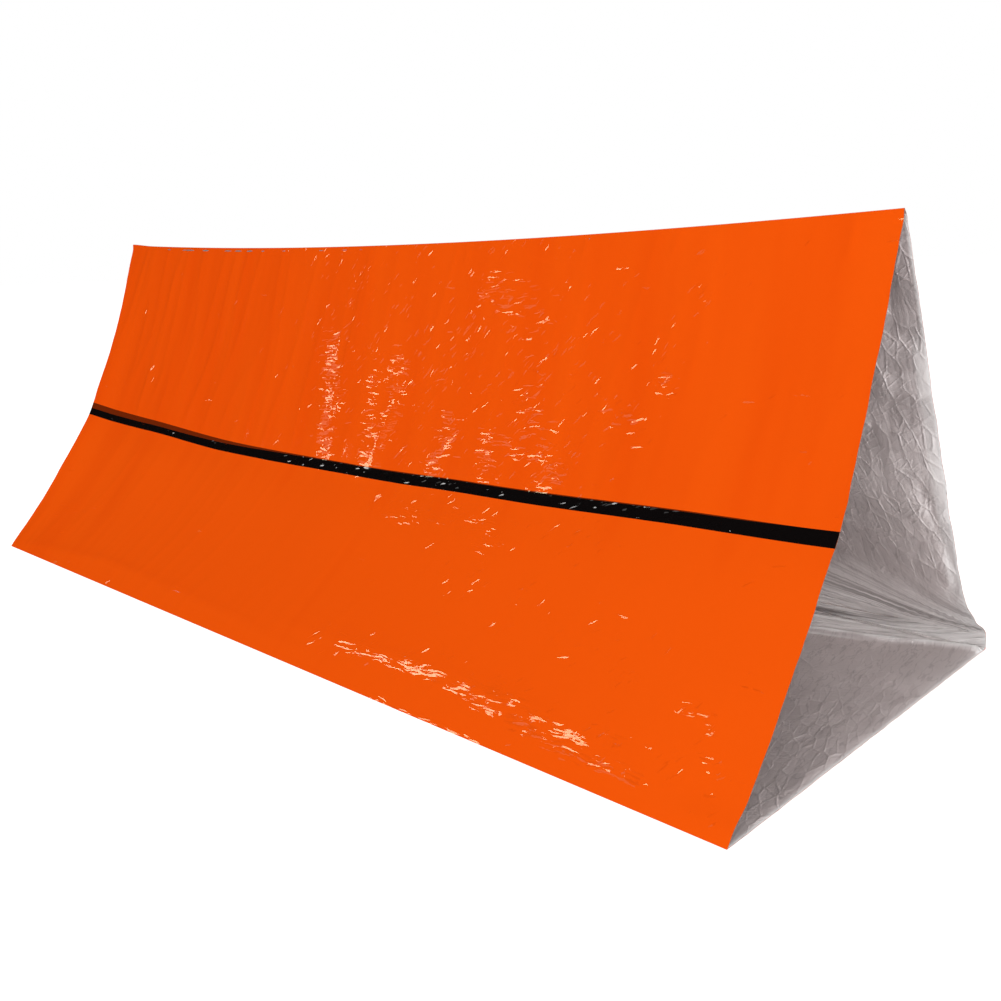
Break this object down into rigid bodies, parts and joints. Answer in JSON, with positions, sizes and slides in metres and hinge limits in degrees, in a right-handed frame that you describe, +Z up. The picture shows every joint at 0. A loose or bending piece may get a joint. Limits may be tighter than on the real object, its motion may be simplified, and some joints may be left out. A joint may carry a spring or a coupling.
{
  "type": "emergency tube tent",
  "caption": "Open-ended emergency ridge tent made from one sleeve of glossy film with a silver inner face, a black band along each wall and fold lines at the floor and the bands.",
  "frame": {"origin": "middle of the floor's underside, on the surface that the tent stands on", "axes": "+X along the tent towards the mouth that the picture shows, +Y from the front wall to the back wall, +Z up"},
  "size_m": [2.4, 0.94, 0.8469],
  "materials": {
    "orange_film": "glossy printed film",
    "silver_liner": "crinkled metallised film",
    "black_band": "glossy printed ink",
    "sealed_seam": "heat-sealed lap of metallised film"
  },
  "bodies": {
    "floor": {"floor_film": "orange_film", "floor_liner": "silver_liner", "seam_strip": "sealed_seam"},
    "front_lower": {"front_lower_film": "orange_film", "front_lower_liner": "silver_liner"},
    "front_upper": {"front_upper_film": "orange_film", "front_upper_liner": "silver_liner", "front_band": "black_band", "ridge_film": "orange_film", "ridge_liner": "silver_liner"},
    "back_lower": {"back_lower_film": "orange_film", "back_lower_liner": "silver_liner"},
    "back_upper": {"back_upper_film": "orange_film", "back_upper_liner": "silver_liner", "back_band": "black_band"}
  },
  "joints": [
    {"name": "front_floor_fold", "type": "hinge", "parent": "floor", "child": "front_lower", "pos_m": [0, -0.4684, 0.00175], "axis": [-1, 0, 0], "range_deg": [0, 12]},
    {"name": "front_band_fold", "type": "hinge", "parent": "front_lower", "child": "front_upper", "pos_m": [0, -0.18587, 0.3535], "axis": [1, 0.0034, 0.0059], "range_deg": [0, 19.7]},
    {"name": "back_floor_fold", "type": "hinge", "parent": "floor", "child": "back_lower", "pos_m": [0, 0.4684, 0.00175], "axis": [1, 0, 0], "range_deg": [0, 15.3]},
    {"name": "back_band_fold", "type": "hinge", "parent": "back_lower", "child": "back_upper", "pos_m": [0, 0.2234, 0.36155], "axis": [-1, 0, 0], "range_deg": [0, 25.1]}
  ],
  "couplings": [
    {"joint": "front_band_fold", "follows": "front_floor_fold", "ratio": 1.634},
    {"joint": "back_floor_fold", "follows": "front_floor_fold", "ratio": 1.271},
    {"joint": "back_band_fold", "follows": "front_floor_fold", "ratio": 2.089}
  ]
}
